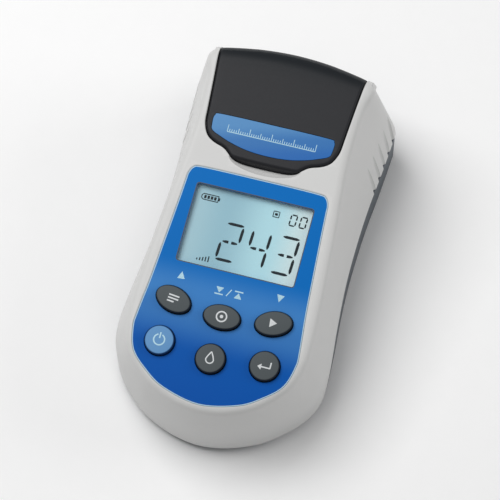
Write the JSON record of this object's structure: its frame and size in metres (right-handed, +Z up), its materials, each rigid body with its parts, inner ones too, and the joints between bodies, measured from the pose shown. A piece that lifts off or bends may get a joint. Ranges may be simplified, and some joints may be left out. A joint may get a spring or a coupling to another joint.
{
  "type": "turbidity meter",
  "caption": "Handheld turbidity meter: wedge body with sloping display and keypad, hinged lid over a round sample chamber, battery cover underneath.",
  "frame": {"origin": "centre of the bounding box at the table, under the feet", "axes": "+X to the instrument's right, +Y from the keypad end to the lid end, +Z up"},
  "size_m": [0.077, 0.1508, 0.0596],
  "materials": {
    "case_light": "fine satin moulded plastic",
    "case_dark": "fine satin moulded plastic",
    "lid_dark": "satin moulded plastic",
    "label_blue": "printed film",
    "seal_rubber": "soft black rubber",
    "steel": "bright pin steel",
    "overlay_blue": "printed polycarbonate film",
    "window_clear": "clear acrylic",
    "display_grey": "liquid crystal glass with reflector",
    "holder_black": "black moulded frame",
    "board_green": "solder mask on glass epoxy",
    "chip_black": "moulded chips",
    "chamber_black": "light-absorbing black plastic",
    "emitter_epoxy": "tinted epoxy",
    "detector_epoxy": "filter epoxy",
    "cell_sleeve": "shrink sleeve",
    "contact_metal": "nickel plated strip",
    "foot_rubber": "soft rubber",
    "key_grey": "soft silicone rubber",
    "key_power_blue": "soft silicone rubber"
  },
  "bodies": {
    "case": {"upper_case": "case_light", "lower_case": "case_dark", "hinge_pin": "steel", "keypad_overlay": "overlay_blue", "display_window": "window_clear", "display_glass": "display_grey", "display_holder": "holder_black", "main_board": "board_green", "board_parts": "chip_black", "switch_domes": "steel", "board_screws": "steel", "sample_chamber": "chamber_black", "infrared_emitter": "emitter_epoxy", "transmission_detector": "detector_epoxy", "scatter_detector": "detector_epoxy", "sensor_board": "board_green", "batteries": "cell_sleeve", "battery_contacts": "contact_metal", "rubber_feet": "foot_rubber", "case_screws": "steel"},
    "lid": {"sample_lid": "lid_dark", "lid_label": "label_blue", "lid_seal": "seal_rubber"},
    "battery_cover": {"battery_cover": "case_dark"},
    "key_memory": {"key_memory": "key_grey"},
    "key_calibrate": {"key_calibrate": "key_grey"},
    "key_read": {"key_read": "key_grey"},
    "key_power": {"key_power": "key_power_blue"},
    "key_test": {"key_test": "key_grey"},
    "key_enter": {"key_enter": "key_grey"}
  },
  "joints": [
    {"name": "lid_hinge", "type": "hinge", "parent": "case", "child": "lid", "pos_m": [0, 0.0587, 0.0464], "axis": [-1, 0, 0], "range_deg": [0, 90]},
    {"name": "battery_cover_removal", "type": "slide", "parent": "case", "child": "battery_cover", "axis": [0, 0, -1], "range_m": [0, 0.02]},
    {"name": "key_memory_press", "type": "slide", "parent": "case", "child": "key_memory", "axis": [0, 0.2181, -0.9759], "range_m": [0, 0.0008], "stiffness_N_per_m": 400},
    {"name": "key_calibrate_press", "type": "slide", "parent": "case", "child": "key_calibrate", "axis": [0, 0.2181, -0.9759], "range_m": [0, 0.0008], "stiffness_N_per_m": 400},
    {"name": "key_read_press", "type": "slide", "parent": "case", "child": "key_read", "axis": [0, 0.2181, -0.9759], "range_m": [0, 0.0008], "stiffness_N_per_m": 400},
    {"name": "key_power_press", "type": "slide", "parent": "case", "child": "key_power", "axis": [0, 0.2181, -0.9759], "range_m": [0, 0.0008], "stiffness_N_per_m": 400},
    {"name": "key_test_press", "type": "slide", "parent": "case", "child": "key_test", "axis": [0, 0.2181, -0.9759], "range_m": [0, 0.0008], "stiffness_N_per_m": 400},
    {"name": "key_enter_press", "type": "slide", "parent": "case", "child": "key_enter", "axis": [0, 0.2181, -0.9759], "range_m": [0, 0.0008], "stiffness_N_per_m": 400}
  ]
}
